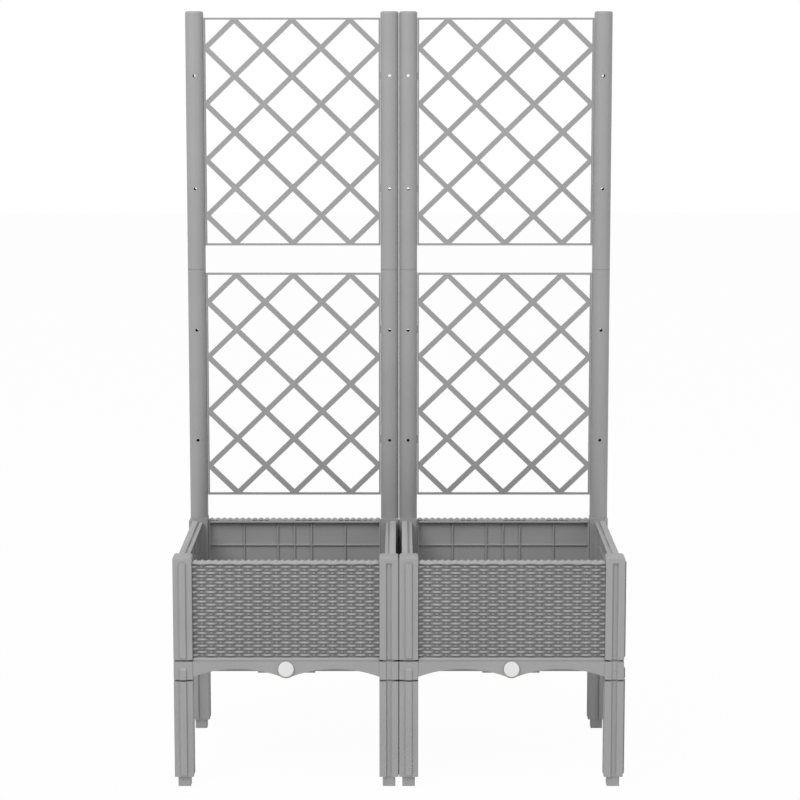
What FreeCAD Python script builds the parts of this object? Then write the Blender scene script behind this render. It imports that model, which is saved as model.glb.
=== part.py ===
"""Modular planter with trellis: two square planters on stacked corner columns, each
carrying two round tubes at the rear with a lower and an upper lattice between them.

Units are millimetres. +Z is up, the front faces -Y. The origin lies on the floor,
between the two planters, in the middle of the whole depth. Every planter is square and
its four sides are alike, so its columns, panels and sleeves are one piece turned by
quarter turns.
"""
import FreeCAD, Part
import math
import os
import Sketcher
from FreeCAD import Placement, Rotation, Vector

SIZES = (
    # the row of planters
    ("unit_pitch", 400.0, "width that one planter takes in the row"),
    ("unit_gap", 1.0, "gap between the columns of neighbouring planters"),
    # corner columns: leg and upper post are the same piece
    ("post_width", 34.0, "side of the square column"),
    ("post_corner", 1.8, "radius of the column's long edges"),
    ("post_height", 174.5, "height of the column without its peg"),
    ("socket_width", 23.1, "side of the square socket in a column's top"),
    ("post_bore", 20.4, "side of the column's hollow below the socket"),
    ("peg_play", 0.3, "room on each side of a peg in its socket"),
    ("peg_wall", 2.2, "wall of a hollow peg"),
    ("peg_grip", 15.1, "depth that a peg sits in its socket"),
    ("peg_neck", 3.5, "part of the peg left open between two columns"),
    ("peg_floor", 3.0, "floor between the peg and the column's hollow"),
    ("rib_width", 10.8, "width of the joining rib at its crest"),
    ("rib_height", 3.0, "height of the joining rib"),
    ("rib_flare", 0.6, "overhang of the rib's crest on each side"),
    ("rib_ramp", 4.4, "length of the ramp at the rib's end"),
    ("rib_play", 0.2, "room on each side of the rib in the groove"),
    ("groove_depth", 3.6, "depth of the joining groove"),
    ("slot_width", 9.0, "width of the slot that takes a panel"),
    ("slot_depth", 3.6, "depth of the slot that takes a panel"),
    # tray with its four sleeves
    ("sleeve_height", 32.4, "height of the tray's sleeves and apron"),
    ("sleeve_rib", 21.4, "height that the rib reaches on a sleeve"),
    ("apron_step", 2.0, "apron's setback behind the column's face"),
    ("apron_wall", 3.0, "wall of the apron"),
    ("arch_rise", 14.3, "rise of each arch in the apron's lower edge"),
    ("arch_foot", 4.6, "height of the arch's ends over the sleeve's foot"),
    ("arch_inset", 8.5, "distance from the tray's middle to the arch"),
    ("ledge_wall", 2.5, "thickness of the ledge that carries the panels"),
    ("basin_setback", 21.5, "basin's setback behind the column's face"),
    ("basin_wall", 2.5, "wall of the basin"),
    ("basin_rise", 9.9, "height of the basin's underside over the sleeve's foot"),
    ("channel_width", 102.0, "width of the drain channel in the basin's floor"),
    ("channel_drop", 3.0, "depth of the drain channel"),
    ("boss_radius", 17.3, "radius of the drain boss"),
    ("drain_radius", 10.0, "radius of the drain's bore"),
    ("drain_rise", 19.3, "height of the drain's axis over the sleeve's foot"),
    # drain plug and its washer
    ("plug_play", 0.3, "room round the plug's stem"),
    ("plug_radius", 13.75, "radius of the plug's head"),
    ("plug_head", 4.5, "thickness of the plug's head"),
    ("plug_round", 1.6, "rounding of the head's rim"),
    ("plug_stem", 19.0, "length of the plug's stem"),
    ("plug_wall", 2.0, "wall of the hollow plug"),
    ("washer_radius", 12.6, "radius of the washer"),
    ("washer_height", 1.5, "thickness of the washer"),
    # side panels
    ("panel_height", 183.2, "height of a panel"),
    ("panel_play", 0.4, "room between a panel and the columns"),
    ("panel_face", 6.6, "panel's wall in front of the columns' middle line"),
    ("panel_back", 12.4, "inner lip behind the columns' middle line"),
    ("panel_wall", 2.6, "wall of a panel"),
    ("strand_relief", 1.3, "relief of the level strands on the panel's face"),
    ("strand_first", 10.1, "lowest strand's middle over the panel's foot"),
    ("strand_pitch", 5.72, "distance from strand to strand"),
    ("strand_land", 1.2, "flat between two strands"),
    ("strand_count", 29.0, "number of level strands"),
    ("rim_height", 5.7, "height of the panel's rim"),
    ("rim_front", 8.7, "rim in front of the columns' middle line"),
    ("rim_groove_width", 3.0, "width of the thin groove in the rim"),
    ("rim_groove_place", 2.0, "groove's distance behind the middle line"),
    ("rim_groove_depth", 1.6, "depth of the thin groove in the rim"),
    ("web_width", 2.2, "thickness of the ribs behind a panel"),
    ("web_depth", 8.0, "depth of the ribs behind a panel"),
    ("web_pitch", 32.3, "unit of the spacing of the upright ribs"),
    ("girt_drop", 48.0, "level rib's distance under the panel's top"),
    # caps of the front posts
    ("cap_rim", 7.5, "height of the cap's upright rim"),
    ("cap_crown", 5.2, "height of the cap's crown over its rim"),
    ("cap_inset", 8.0, "inset of the crown's flat top"),
    ("cap_plug", 12.0, "length of the plug under a cap"),
    # trellis tubes
    ("tube_radius", 17.0, "outer radius of a tube"),
    ("tube_wall", 2.5, "wall of a tube"),
    ("tube_length", 477.5, "length of the round part of a tube"),
    ("collar_height", 6.4, "height of the square collar under the lower tube"),
    ("seam_gap", 1.0, "height of the stop ring between two tubes"),
    ("seam_step", 1.0, "setback of the stop ring behind the tube"),
    ("spigot_length", 20.0, "length of the upper tube's spigot"),
    ("spigot_play", 0.15, "room round a spigot or a cap's plug"),
    ("spigot_wall", 2.0, "wall of a spigot"),
    ("tie_radius", 2.9, "radius of the tie holes through the tubes"),
    ("tie_spacing", 211.0, "distance between a tube's two tie holes"),
    ("dome_height", 5.5, "height of a tube cap"),
    ("dome_round", 4.0, "rounding of a tube cap"),
    ("dome_plug", 12.0, "length of the plug under a tube cap"),
    # lattices
    ("lattice_start", 44.5, "lattice's height over the tube's lower end"),
    ("lattice_height", 426.5, "height of a lattice"),
    ("lattice_play", 0.5, "room between a lattice and the tubes"),
    ("lattice_depth", 6.0, "thickness of a lattice"),
    ("lattice_bar", 3.8, "height of the lattice's level bars"),
    ("lattice_side", 3.0, "width of the lattice's upright bars"),
    ("strip_width", 9.4, "width of the slanting strips"),
    ("cells_across", 3.0, "full diamonds across a lattice"),
    ("cells_up", 4.0, "full diamonds up a lattice"),
    ("lug_height", 14.0, "height of the lugs on the lattice's sides"),
    ("lug_reach", 5.0, "depth that a lug reaches into its tube"),
    ("lug_play", 0.3, "room round a lug in its slot"),
    # soil grid over the reservoir
    ("grid_play", 1.5, "room round the soil grid"),
    ("grid_wall", 3.0, "thickness of the soil grid"),
    ("grid_top", 1.0, "soil grid's top under the tray's rim"),
    ("grid_slot_width", 5.0, "width of the drain slots in the soil grid"),
    ("grid_slot_length", 26.0, "length of the drain slots in the soil grid"),
    ("grid_slot_pitch", 40.0, "spacing of the drain slots"),
    ("grid_slot_count", 7.0, "drain slots along each side"),
    ("grid_foot", 9.0, "radius of the soil grid's feet"),
    ("grid_foot_place", 110.0, "distance of the feet from the middle"),
)

doc = FreeCAD.newDocument("planter_with_trellis")
sheet = doc.addObject("Spreadsheet::Sheet", "sizes")


class Size:
    """A length together with the formula over the sheet that gives it."""

    def __init__(self, value, formula):
        self.value = float(value)
        self.formula = formula

    def __add__(self, other):
        return combine(self, "+", other)

    def __radd__(self, other):
        return combine(other, "+", self)

    def __sub__(self, other):
        return combine(self, "-", other)

    def __rsub__(self, other):
        return combine(other, "-", self)

    def __mul__(self, other):
        return combine(self, "*", other)

    def __rmul__(self, other):
        return combine(other, "*", self)

    def __truediv__(self, other):
        return combine(self, "/", other)

    def __rtruediv__(self, other):
        return combine(other, "/", self)

    def __neg__(self):
        return combine(0.0, "-", self)


OPERATIONS = {
    "+": lambda a, b: a + b,
    "-": lambda a, b: a - b,
    "*": lambda a, b: a * b,
    "/": lambda a, b: a / b,
}


def as_size(item):
    """Take a plain number as a size."""
    return item if isinstance(item, Size) else Size(item, f"{float(item)}")


def combine(first, sign, second):
    """Join two sizes, their values and their formulas alike."""
    first, second = as_size(first), as_size(second)
    value = OPERATIONS[sign](first.value, second.value)
    return Size(value, f"({first.formula} {sign} {second.formula})")


def fill_sheet():
    """Write the driving dimensions and return them by name."""
    named = {}
    for row, (name, value, meaning) in enumerate(SIZES, start=1):
        sheet.set(f"A{row}", name)
        sheet.set(f"B{row}", str(value))
        sheet.set(f"C{row}", meaning)
        sheet.setAlias(f"B{row}", name)
        named[name] = Size(value, f"sizes.{name}")
    doc.recompute()
    return named


S = fill_sheet()

# Sizes that follow from the driving ones
post_half = S["post_width"] / 2
corner_place = (S["unit_pitch"] - S["unit_gap"]) / 2 - post_half
peg_width = S["socket_width"] - 2 * S["peg_play"]
peg_hollow = peg_width - 2 * S["peg_wall"]
peg_length = S["peg_grip"] + S["peg_neck"]
unit_face = corner_place + post_half
rib_neck = S["rib_width"] / 2 - S["rib_flare"]
rib_slope = S["rib_flare"] / S["rib_height"]
sleeve_foot = peg_length + S["post_height"] + S["peg_neck"]
tray_top = sleeve_foot + S["sleeve_height"]
post_top = tray_top + S["peg_neck"] + S["post_height"]
tube_foot = post_top + S["collar_height"]
tube_seat = tube_foot + S["tube_length"] + S["seam_gap"]
tube_top = tube_seat + S["tube_length"]
tube_bore = S["tube_radius"] - S["tube_wall"]
basin_half = unit_face - S["basin_setback"]
apron_half = unit_face - S["apron_step"]
bay_half = corner_place - post_half
basin_floor = S["basin_rise"] + S["basin_wall"]
plug_front = apron_half + S["washer_height"] + S["plug_head"]
centre_shift = (plug_front - unit_face - S["rib_height"]) / 2


# Sketch and feature helpers

def origin_plane(body, role):
    """Find one of the body's own origin planes."""
    return next(item for item in body.Origin.OriginFeatures if item.Role == role)


def bind(item, path, size):
    """Bind a property to the sheet."""
    item.setExpression(path, as_size(size).formula)


def new_body(label, x=0.0, y=0.0, z=0.0, turn=0.0):
    """Start a sub-part at its place; turn is its angle about the vertical.

    The planter's own middle lies a little behind the origin, so that the plugs in front
    and the ribs behind stand equally far from it.
    """
    body = doc.addObject("PartDesign::Body", label)
    body.Label = label
    place = [as_size(item) for item in (x, y + centre_shift, z)]
    at = Vector(*[item.value for item in place])
    body.Placement = Placement(at, Rotation(Vector(0, 0, 1), turn))
    for axis, item in zip("xyz", place):
        bind(body, f"Placement.Base.{axis}", item)
    return body


def new_sketch(body, name, role="XY_Plane", level=0.0):
    """Start a sketch on one of the body's planes, lifted along its normal."""
    level = as_size(level)
    sketch = body.newObject("Sketcher::SketchObject", name)
    sketch.AttachmentSupport = [(origin_plane(body, role), "")]
    sketch.MapMode = "FlatFace"
    sketch.AttachmentOffset = Placement(Vector(0, 0, level.value), Rotation())
    bind(sketch, "AttachmentOffset.Base.z", level)
    return sketch


def fix_point(sketch, geometry, spot, x, y):
    """Tie one point of a sketch to its place."""
    for kind, size in (("DistanceX", x), ("DistanceY", y)):
        rule = Sketcher.Constraint(kind, -1, 1, geometry, spot, size.value)
        number = sketch.addConstraint(rule)
        bind(sketch, f"Constraints[{number}]", size)


def fix_radius(sketch, geometry, radius):
    """Tie an arc's or a circle's radius."""
    number = sketch.addConstraint(Sketcher.Constraint("Radius", geometry, radius.value))
    bind(sketch, f"Constraints[{number}]", radius)


def arc_between(start, end, radius, turn):
    """The arc from start to end; turn is 1 for a left-hand bend, -1 for a right-hand one."""
    chord = end - start
    half = chord.Length / 2
    rise = math.sqrt(max(radius * radius - half * half, 0.0))
    side = Vector(-chord.y, chord.x, 0).normalize() * turn
    centre = (start + end) / 2 + side * rise
    first, last = (start, end) if turn > 0 else (end, start)
    angles = [math.atan2(p.y - centre.y, p.x - centre.x) for p in (first, last)]
    if angles[1] < angles[0]:
        angles[1] += 2 * math.pi
    circle = Part.Circle(centre, Vector(0, 0, 1), radius)
    return Part.ArcOfCircle(circle, angles[0], angles[1])


def draw_outline(sketch, corners):
    """Draw a closed outline.

    A corner is (x, y), or (x, y, radius, turn) where the side that starts at it is an
    arc of that radius, turning left (1) or right (-1).
    """
    corners = [tuple(as_size(item) for item in corner) for corner in corners]
    points = [Vector(corner[0].value, corner[1].value, 0) for corner in corners]
    sides = []
    for number, corner in enumerate(corners):
        start, end = points[number], points[(number + 1) % len(points)]
        if len(corner) == 2:
            geometry = sketch.addGeometry(Part.LineSegment(start, end), False)
            sides.append((geometry, 1, 2))
        else:
            radius, turn = corner[2], corner[3].value
            arc = arc_between(start, end, radius.value, turn)
            geometry = sketch.addGeometry(arc, False)
            sides.append((geometry, 1, 2) if turn > 0 else (geometry, 2, 1))
            fix_radius(sketch, geometry, radius)
    for number, corner in enumerate(corners):
        geometry, spot, _ = sides[number]
        before, _, last_spot = sides[number - 1]
        sketch.addConstraint(Sketcher.Constraint("Coincident", before, last_spot, geometry, spot))
        fix_point(sketch, geometry, spot, corner[0], corner[1])


def draw_circle(sketch, x, y, radius):
    """Draw a circle."""
    x, y, radius = as_size(x), as_size(y), as_size(radius)
    circle = Part.Circle(Vector(x.value, y.value, 0), Vector(0, 0, 1), radius.value)
    geometry = sketch.addGeometry(circle, False)
    fix_point(sketch, geometry, 3, x, y)
    fix_radius(sketch, geometry, radius)


def draw_box(sketch, x_low, x_high, y_low, y_high):
    """Draw a rectangle."""
    draw_outline(sketch, [(x_low, y_low), (x_high, y_low), (x_high, y_high), (x_low, y_high)])


def draw_square(sketch, half):
    """Draw a square round the origin."""
    draw_box(sketch, -half, half, -half, half)


def draw_rounded(sketch, half, radius):
    """Draw a square round the origin with rounded corners."""
    inner = half - radius
    draw_outline(sketch, [
        (-inner, -half), (inner, -half, radius, 1),
        (half, -inner), (half, inner, radius, 1),
        (inner, half), (-inner, half, radius, 1),
        (-half, inner), (-half, -inner, radius, 1),
    ])


def pad(body, sketch, length, name, reverse=False, midplane=False):
    """Add the sketch's area over a length."""
    feature = body.newObject("PartDesign::Pad", name)
    feature.Profile = sketch
    feature.Length = as_size(length).value
    bind(feature, "Length", length)
    feature.Reversed = reverse
    if midplane:
        feature.SideType = "Symmetric"
    return feature


def pocket(body, sketch, length, name, reverse=False, midplane=False):
    """Cut the sketch's area over a length."""
    feature = body.newObject("PartDesign::Pocket", name)
    feature.Profile = sketch
    feature.Length = as_size(length).value
    bind(feature, "Length", length)
    feature.Reversed = reverse
    if midplane:
        feature.SideType = "Symmetric"
    return feature


def revolve(body, sketch, name):
    """Turn the sketch's area round the vertical axis."""
    feature = body.newObject("PartDesign::Revolution", name)
    feature.Profile = sketch
    feature.ReferenceAxis = (sketch, ["V_Axis"])
    feature.Angle = 360.0
    return feature


def line_pattern(body, originals, axis_role, length, count, name):
    """Repeat features along one of the body's axes; length is from first to last."""
    feature = body.newObject("PartDesign::LinearPattern", name)
    feature.Originals = originals
    feature.Direction = (origin_plane(body, axis_role), [""])
    feature.Length = as_size(length).value
    bind(feature, "Length", length)
    feature.Occurrences = int(round(count.value))
    bind(feature, "Occurrences", count)
    body.Tip = feature
    return feature


def field_pattern(body, original, moves, name):
    """Repeat a feature along two of the body's axes; a move is (axis, pitch, count)."""
    field = body.newObject("PartDesign::MultiTransform", name)
    field.Originals = [original]
    steps = []
    for role, pitch, count in moves:
        step = body.newObject("PartDesign::LinearPattern", f"{name}_{role}")
        step.Direction = (origin_plane(body, role), [""])
        run = (count - 1) * pitch
        step.Length = run.value
        bind(step, "Length", run)
        step.Occurrences = int(round(count.value))
        bind(step, "Occurrences", count)
        steps.append(step)
    field.Transformations = steps
    body.Tip = field
    return field


# Corner columns

def post_outline(with_slots):
    """The column's outline: rib on the front, groove on the left, slots inside.

    It runs anticlockwise from the left end of the front face.
    """
    half, radius = post_half, S["post_corner"]
    inner = half - radius
    crest, height = S["rib_width"] / 2, S["rib_height"]
    mouth = rib_neck + rib_slope * S["unit_gap"] + S["rib_play"]
    depth = S["groove_depth"]
    floor = mouth + rib_slope * depth
    slot, sunk = S["slot_width"] / 2, S["slot_depth"]
    front = [
        (-inner, -half), (-rib_neck, -half), (-crest, -half - height),
        (crest, -half - height), (rib_neck, -half), (inner, -half, radius, 1),
    ]
    right = [(half, -inner)]
    rear = [(inner, half)]
    if with_slots:
        right += [(half, -slot), (half - sunk, -slot), (half - sunk, slot), (half, slot)]
        rear += [(slot, half), (slot, half - sunk), (-slot, half - sunk), (-slot, half)]
    right += [(half, inner, radius, 1)]
    rear += [(-inner, half, radius, 1)]
    left = [
        (-half, inner), (-half, mouth), (-half + depth, floor),
        (-half + depth, -floor), (-half, -mouth), (-half, -inner, radius, 1),
    ]
    return front + right + rear + left


def rib_ramp(body, level, name, upward):
    """Cut the ramp at a rib's end; upward means that the rib's top is cut."""
    sketch = new_sketch(body, f"{name}_sketch", "YZ_Plane")
    over = S["rib_height"]
    run = S["rib_ramp"] * (1 if upward else -1)
    face = -post_half
    draw_outline(sketch, [
        (face, level), (face - 2 * over, level - 2 * run), (face - 2 * over, level + run),
        (face, level + run),
    ])
    return pocket(body, sketch, 2 * S["rib_width"], name, midplane=True)


def corner_column(label, x, y, z, turn):
    """A leg or an upper post: ribbed column with a peg below and a socket on top."""
    body = new_body(label, x, y, z, turn)
    peg_sketch = new_sketch(body, f"{label}_peg_sketch")
    draw_rounded(peg_sketch, peg_width / 2, S["post_corner"])
    pad(body, peg_sketch, peg_length, f"{label}_peg")
    profile = new_sketch(body, f"{label}_profile", level=peg_length)
    draw_outline(profile, post_outline(with_slots=True))
    pad(body, profile, S["post_height"], f"{label}_column")
    top = peg_length + S["post_height"]
    cut_socket(body, label, top)
    hollow = new_sketch(body, f"{label}_hollow_sketch", level=top)
    draw_square(hollow, S["post_bore"] / 2)
    pocket(body, hollow, S["post_height"] - S["peg_floor"], f"{label}_hollow")
    cut_peg_hollow(body, label, top, top)
    rib_ramp(body, peg_length, f"{label}_rib_end", upward=False)
    return body


def cut_socket(body, label, top):
    """The square socket that takes the next piece's peg."""
    sketch = new_sketch(body, f"{label}_socket_sketch", level=top)
    draw_square(sketch, S["socket_width"] / 2)
    return pocket(body, sketch, S["peg_grip"], f"{label}_socket")


def cut_peg_hollow(body, label, top, length):
    """The hollow that runs right through the peg."""
    sketch = new_sketch(body, f"{label}_peg_hollow_sketch", level=top)
    draw_square(sketch, peg_hollow / 2)
    return pocket(body, sketch, length, f"{label}_peg_hollow")


# Tray

def cut_arches(body, label, role):
    """Cut the two arches in the apron, through both opposite sides."""
    sketch = new_sketch(body, f"{label}_sketch", role)
    foot, inset = S["arch_foot"], S["arch_inset"]
    half = (bay_half - inset) / 2
    rise = S["arch_rise"]
    radius = (half * half + rise * rise) / (2 * rise)
    low = -S["arch_foot"]
    draw_outline(sketch, [
        (-bay_half, low), (bay_half, low), (bay_half, foot, radius, 1),
        (inset, foot), (-inset, foot, radius, 1), (-bay_half, foot),
    ])
    return pocket(body, sketch, 2 * unit_face, label, midplane=True)


def add_sleeves(body, label):
    """The four sleeves with their pegs and sockets, patterned round the tray."""
    name = f"{label}_sleeve"
    place = corner_place
    height = S["sleeve_height"]
    level = S["peg_grip"] + S["peg_neck"]
    steps = []

    peg = new_sketch(body, f"{name}_peg_sketch", level=-level)
    half = peg_width / 2
    draw_box(peg, -place - half, -place + half, -place - half, -place + half)
    steps.append(pad(body, peg, level, f"{name}_peg"))

    profile = new_sketch(body, f"{name}_profile")
    outline = []
    for corner in post_outline(with_slots=False):
        outline.append((corner[0] - place, corner[1] - place) + tuple(corner[2:]))
    draw_outline(profile, outline)
    steps.append(pad(body, profile, height, f"{name}_column"))

    shaved = new_sketch(body, f"{name}_rib_end_sketch", "YZ_Plane", level=-place)
    over = 2 * S["rib_height"]
    face = -place - post_half
    ramp = S["rib_ramp"]
    end = S["sleeve_rib"]
    draw_outline(shaved, [
        (face, end), (face - over, end - ramp * over / S["rib_height"]),
        (face - over, height + ramp), (face, height + ramp),
    ])
    steps.append(pocket(body, shaved, 2 * S["rib_width"], f"{name}_rib_end", midplane=True))

    for part, width, depth in (
        ("socket", S["socket_width"], S["peg_grip"]),
        ("hollow", peg_hollow, height + level),
    ):
        sketch = new_sketch(body, f"{name}_{part}_sketch", level=height)
        half = width / 2
        draw_box(sketch, -place - half, -place + half, -place - half, -place + half)
        steps.append(pocket(body, sketch, depth, f"{name}_{part}"))

    round_tray = body.newObject("PartDesign::PolarPattern", f"{name}_pattern")
    round_tray.Originals = steps
    round_tray.Axis = (origin_plane(body, "Z_Axis"), [""])
    round_tray.Angle = 360.0
    round_tray.Occurrences = 4
    body.Tip = round_tray


def tray(label, x):
    """Tray: apron with arches, ledge, basin with drain channel, boss and sleeves."""
    body = new_body(label, x, 0.0, sleeve_foot)
    height = S["sleeve_height"]

    apron = new_sketch(body, f"{label}_apron_sketch")
    draw_square(apron, apron_half)
    draw_square(apron, apron_half - S["apron_wall"])
    pad(body, apron, height, f"{label}_apron")
    cut_arches(body, f"{label}_front_arches", "XZ_Plane")
    cut_arches(body, f"{label}_side_arches", "YZ_Plane")

    ledge = new_sketch(body, f"{label}_ledge_sketch", level=height)
    draw_square(ledge, apron_half)
    draw_square(ledge, basin_half - S["basin_wall"])
    pad(body, ledge, S["ledge_wall"], f"{label}_ledge", reverse=True)

    basin = new_sketch(body, f"{label}_basin_sketch", level=S["basin_rise"])
    draw_rounded(basin, basin_half, 3 * S["basin_wall"])
    pad(body, basin, height - S["basin_rise"], f"{label}_basin")
    channel_half = S["channel_width"] / 2
    channel_foot = S["basin_rise"] - S["channel_drop"]
    channel = new_sketch(body, f"{label}_channel_sketch", level=channel_foot)
    draw_box(channel, -channel_half, channel_half, -basin_half, basin_half)
    pad(body, channel, S["channel_drop"], f"{label}_channel")
    inside = basin_half - S["basin_wall"]
    bowl = new_sketch(body, f"{label}_bowl_sketch", level=height)
    draw_rounded(bowl, inside, 2 * S["basin_wall"])
    pocket(body, bowl, height - basin_floor, f"{label}_bowl")
    gutter_half = channel_half - S["basin_wall"]
    gutter = new_sketch(body, f"{label}_gutter_sketch", level=height)
    draw_box(gutter, -gutter_half, gutter_half, -inside, inside)
    pocket(body, gutter, height - basin_floor + S["channel_drop"], f"{label}_gutter")

    boss = new_sketch(body, f"{label}_boss_sketch", "XZ_Plane", level=inside)
    draw_circle(boss, 0.0, S["drain_rise"], S["boss_radius"])
    pad(body, boss, apron_half - inside, f"{label}_boss")
    boss_trim = new_sketch(body, f"{label}_boss_trim_sketch", level=height)
    draw_box(boss_trim, -S["boss_radius"], S["boss_radius"], -unit_face, -inside)
    pocket(body, boss_trim, S["boss_radius"], f"{label}_boss_trim", reverse=True)
    drain = new_sketch(body, f"{label}_drain_sketch", "XZ_Plane", level=inside)
    draw_circle(drain, 0.0, S["drain_rise"], S["drain_radius"])
    pocket(body, drain, 2 * S["basin_setback"], f"{label}_drain", reverse=True)

    add_sleeves(body, label)
    return body


# Panels

def panel(label, x, y, turn):
    """Panel: wall with strands in front, ribs behind, rim on top and tongues at its ends."""
    body = new_body(label, x, y, tray_top, turn)
    height = S["panel_height"]
    half = bay_half - S["panel_play"]
    tongue = bay_half + S["slot_depth"] - S["panel_play"]
    tongue_half = S["slot_width"] / 2 - S["panel_play"]
    wall_front = -S["panel_face"]
    wall_back = wall_front + S["panel_wall"]
    flange = half - S["panel_wall"]
    back = S["panel_back"]

    section = new_sketch(body, f"{label}_section")
    draw_outline(section, [
        (-half, wall_front), (half, wall_front), (half, back), (flange, back),
        (flange, wall_back), (-flange, wall_back), (-flange, back), (-half, back),
    ])
    pad(body, section, height, f"{label}_wall")
    tongues = new_sketch(body, f"{label}_tongue_sketch")
    draw_box(tongues, -tongue, -flange, -tongue_half, tongue_half)
    draw_box(tongues, flange, tongue, -tongue_half, tongue_half)
    pad(body, tongues, post_top - tray_top, f"{label}_tongues")

    webs = new_sketch(body, f"{label}_webs_sketch")
    web_half = S["web_width"] / 2
    web_back = wall_back + S["web_depth"]
    for steps in (-3, -1, 0, 1, 3):
        middle = steps * S["web_pitch"]
        draw_box(webs, middle - web_half, middle + web_half, wall_back, web_back)
    pad(body, webs, height, f"{label}_webs")

    girt = new_sketch(body, f"{label}_girt_sketch", level=height - S["girt_drop"])
    draw_box(girt, -flange, flange, wall_back, web_back)
    pad(body, girt, S["web_width"], f"{label}_girt")

    rim = new_sketch(body, f"{label}_rim_sketch", level=height)
    draw_box(rim, -half, half, -S["rim_front"], back)
    pad(body, rim, S["rim_height"], f"{label}_rim", reverse=True)
    groove = new_sketch(body, f"{label}_rim_groove_sketch", level=height)
    groove_front = S["rim_groove_place"]
    draw_box(groove, -tongue, tongue, groove_front, groove_front + S["rim_groove_width"])
    pocket(body, groove, S["rim_groove_depth"], f"{label}_rim_groove")

    strand = new_sketch(body, f"{label}_strand_sketch", "YZ_Plane")
    relief, level = S["strand_relief"], S["strand_first"]
    foot_half = (S["strand_pitch"] - S["strand_land"]) / 2
    crest, crest_half = wall_front - relief, foot_half - relief / 2
    draw_outline(strand, [
        (wall_front, level - foot_half), (wall_front, level + foot_half),
        (crest, level + crest_half), (crest, level - crest_half),
    ])
    first = pad(body, strand, 2 * half, f"{label}_strand", midplane=True)
    run = (S["strand_count"] - 1) * S["strand_pitch"]
    line_pattern(body, [first], "Z_Axis", run, S["strand_count"], f"{label}_strands")
    return body


# Caps of the front posts

# Share of the crown's height, then share of its inset
CROWN_STEPS = ((0.0, 0.0), (0.55, 0.14), (0.85, 0.5), (1.0, 1.0))


def post_cap(label, x, y):
    """Crowned square cap with a hollow plug."""
    body = new_body(label, x, y, post_top)
    plug = new_sketch(body, f"{label}_plug_sketch")
    draw_square(plug, peg_width / 2)
    draw_square(plug, peg_hollow / 2)
    pad(body, plug, S["cap_plug"], f"{label}_plug", reverse=True)
    rim = new_sketch(body, f"{label}_rim_sketch")
    draw_rounded(rim, post_half, S["post_corner"])
    pad(body, rim, S["cap_rim"], f"{label}_rim")
    rings = []
    for number, (rise, inset) in enumerate(CROWN_STEPS):
        ring = new_sketch(body, f"{label}_ring_{number}", level=S["cap_rim"] + rise * S["cap_crown"])
        draw_rounded(ring, post_half - inset * S["cap_inset"], S["post_corner"])
        rings.append(ring)
    crown = body.newObject("PartDesign::AdditiveLoft", f"{label}_crown")
    crown.Profile = rings[0]
    crown.Sections = rings[1:]
    crown.Ruled = True
    return body


# Trellis tubes

def lug_slots(body, label, side):
    """Cut the two slots that take the lattice's lugs; side is 1 or -1 along X."""
    sketch = new_sketch(body, f"{label}_lug_sketch", "YZ_Plane")
    half_depth = S["lattice_depth"] / 2 + S["lug_play"]
    for place in tie_places():
        seat = place - S["lug_height"] / 2
        roof = seat + S["lug_height"] + 2 * S["lug_play"]
        draw_box(sketch, -half_depth, half_depth, seat, roof)
    return pocket(body, sketch, S["tube_radius"], f"{label}_lug_slots", reverse=side > 0)


def tie_places():
    """Heights of the two tie holes over the tube's lower end."""
    middle = S["lattice_start"] + S["lattice_height"] / 2
    return (middle - S["tie_spacing"] / 2, middle + S["tie_spacing"] / 2)


def tie_holes(body, label):
    """Drill the two tie holes from front to back."""
    sketch = new_sketch(body, f"{label}_tie_sketch", "XZ_Plane")
    for place in tie_places():
        draw_circle(sketch, 0.0, place, S["tie_radius"])
    return pocket(body, sketch, 4 * S["tube_radius"], f"{label}_tie_holes", midplane=True)


def lower_tube(label, x, y, side):
    """Lower tube: round tube on a square collar with a peg for the rear post."""
    body = new_body(label, x, y, tube_foot)
    collar_height = S["collar_height"]
    tube = new_sketch(body, f"{label}_section", "XZ_Plane")
    draw_box(tube, tube_bore, S["tube_radius"], 0.0, S["tube_length"])
    revolve(body, tube, f"{label}_tube")
    collar = new_sketch(body, f"{label}_collar_sketch")
    draw_rounded(collar, post_half, S["post_corner"])
    pad(body, collar, collar_height, f"{label}_collar", reverse=True)
    peg = new_sketch(body, f"{label}_peg_sketch", level=-collar_height)
    draw_rounded(peg, peg_width / 2, S["post_corner"])
    pad(body, peg, S["peg_grip"], f"{label}_peg", reverse=True)
    hollow = new_sketch(body, f"{label}_hollow_sketch", level=-S["peg_floor"])
    draw_square(hollow, peg_hollow / 2)
    pocket(body, hollow, collar_height + S["peg_grip"], f"{label}_hollow")
    tie_holes(body, label)
    lug_slots(body, label, side)
    return body


def upper_tube(label, x, y, side):
    """Upper tube: round tube with a stop ring and a spigot for the lower tube."""
    body = new_body(label, x, y, tube_seat)
    tube_radius = S["tube_radius"]
    spigot = tube_bore - S["spigot_play"]
    throat = spigot - S["spigot_wall"]
    ring = tube_radius - S["seam_step"]
    section = new_sketch(body, f"{label}_section", "XZ_Plane")
    foot = -S["seam_gap"] - S["spigot_length"]
    draw_outline(section, [
        (throat, foot), (spigot, foot), (spigot, -S["seam_gap"]), (ring, -S["seam_gap"]),
        (ring, 0.0), (tube_radius, 0.0), (tube_radius, S["tube_length"]),
        (tube_bore, S["tube_length"]), (tube_bore, S["tube_wall"]), (throat, 0.0),
    ])
    revolve(body, section, f"{label}_tube")
    tie_holes(body, label)
    lug_slots(body, label, side)
    return body


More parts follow.
